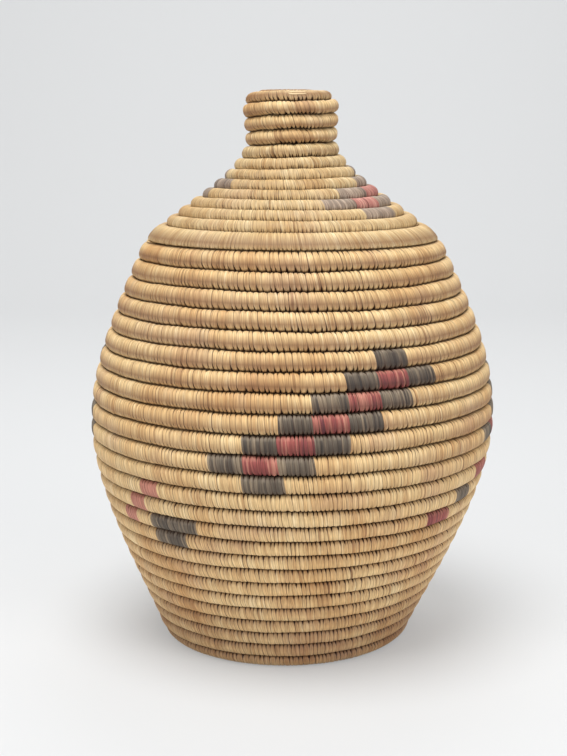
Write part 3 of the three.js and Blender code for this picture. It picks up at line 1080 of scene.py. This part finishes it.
# Painted shade on the lower half of the lid's rows, on the slope and on the neck
LID_LOWER_PAINTED_SHADE = (0.33, 0.93)
# On the lid's edge and ring: few bites, and painted shade on the lower half of each row
EDGE_BITES_AND_DARKENING = {
    "low_bites": 0.25, "high_bites": 0.1, "lower_painted_shade": 0.95, "upper_painted_shade": 0.0, "foot_darkening": 0.0,
}
RING_DEPTH = 13.0
RING_ROWS = 2
RING_THICKNESS = 5.0
MOUTH_CLEARANCE = 1.5


def edge_wear(turns):
    return EDGE_BITES_AND_DARKENING


def lid_wear(turns):
    on_the_neck = smoothstep(turns, *NECK_BEGINS)
    return {
        "low_bites": blend(LID_LOW_BITES, on_the_neck),
        "high_bites": LID_HIGH_BITES,
        "lower_painted_shade": blend(LID_LOWER_PAINTED_SHADE, on_the_neck),
        "upper_painted_shade": 0.0,
        "foot_darkening": 0.0,
    }


lid_body = spiral(
    lid, lid_seam, LID_EDGE_HEIGHT, lid["length"] - COIL_START, wear=lid_wear,
    chart=(lid_chart, LID_ROWS), squareness=2.25, parting=0.9, stitch_sizes=SMALL_STITCH_SIZES,
)
lid_edge = {
    "outline": lid, "seams": lambda turns: (0 * turns, 0 * turns + LID_EDGE_HEIGHT), "level_at": 0.0,
    "wear": edge_wear, "inner_ridge": RIDGE / 2, "squareness": 2.6, "parting": 0.82,
}


def ring_form():
    outer_face = RIM[0] - SEAM_DEPTH - MOUTH_CLEARANCE - RIDGE / 2
    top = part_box("lid_locating_ring")[1].z / MM
    outline = outline_of(straight((outer_face, top - RING_DEPTH), (outer_face, top)))
    return spiral(
        outline, lambda turns: rows_climbed(turns, 1) * RING_DEPTH / RING_ROWS, 0.0, RING_DEPTH,
        wear=edge_wear, thickness=RING_THICKNESS - RIDGE, outer_ridge=RIDGE / 2,
        inner_ridge=RIDGE / 2, squareness=2.5,
    )


ring = ring_form()
ring_start, ring_end = free_end(ring, 0.0, -1), free_end(ring, float(RING_ROWS), 1)
shoulder_start = free_end(lid_body, 0.0, -1, FINEST_END)
crown_end = free_end(lid_body, float(LID_ROWS), 1)
neck = {**lid_body, "stitch_sizes": STITCH_SIZES, "slant": NECK_SLANT}
lid_forms = {"lid_ring_binding": ring, "lid_edge_binding": lid_edge, "lid_neck_binding": neck}
LID_COILS = (
    ("lid_ring_binding", "lid_locating_ring", ring_start, ring_end, dull_strip, "dull_straw"),
    ("lid_edge_binding", "lid_edge_coil", 0, 1, pale_strip, "pale_straw"),
    ("lid_shoulder_binding", "lid_shoulder_coil", shoulder_start, 4, pale_strip, "pale_straw"),
    ("lid_slope_binding", "lid_slope_coil", 4, 8, pale_strip, "pale_straw"),
    ("lid_neck_binding", "lid_neck_coil", 8, LID_ROWS, straw_strip, "straw"),
    ("lid_crown_binding", "lid_crown_coil", LID_ROWS, crown_end, straw_strip, "straw"),
)
dress(LID_COILS, lambda name: lid_forms.get(name, lid_body), "lid")

# %% [markdown]
# On the front of the neck's top turn the end of a strip is tucked in flat, along the coil, and
# folded so that its two edges stand up with a slot between them. Each edge is a flat strip of
# faces laid on the coil and given a thickness. They are the same leaf as the neck.

# %% The tucked end
TUCK_TURNS = (11.497, 11.557)
TUCK_EDGES = ((-0.42, -0.32), (-0.12, -0.02))
TUCK_PROUD = 0.35
TUCK_THICKNESS = 0.8
TUCK_SKEW = 0.12
TUCK_STEPS = 12


def tuck_strip(name, form, first, last, lift_span):
    bm = bmesh.new()
    bmesh.ops.create_grid(bm, x_segments=TUCK_STEPS, y_segments=1, size=1.0)
    share = (np.array([vert.co[:2] for vert in bm.verts]) + 1) / 2
    turns = first + (last - first) * (share[:, 0] - TUCK_SKEW * share[:, 1])
    lift = blend(lift_span, share[:, 1])
    low, high = form["seams"](turns)
    place, facing = face_at(form, (low + high) / 2 + lift * (high - low) / 2)
    swell = (1 - np.abs(lift) ** form["squareness"]) ** (1 / form["squareness"])
    depth = -SEAM_DEPTH / 2 + swell * (SEAM_DEPTH / 2 + RIDGE) + TUCK_PROUD
    radius, height = (place + facing * depth[:, None]).T
    for vert, point in zip(bm.verts, (swung(radius, height, turns) * MM).tolist()):
        vert.co = point
    bmesh.ops.recalc_face_normals(bm, faces=bm.faces)
    bmesh.ops.solidify(bm, geom=bm.faces, thickness=TUCK_THICKNESS * MM)
    return object_of(bm, name)


for number, lift_span in enumerate(TUCK_EDGES, start=1):
    tuck = tuck_strip(f"tucked_strip_edge_{number}", lid_body, *TUCK_TURNS, lift_span)
    tuck.data.materials.append(straw_strip)
    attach(tuck, "lid")
    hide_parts("lid_neck_coil")
    print(tuck.name, "faces", len(tuck.data.polygons))
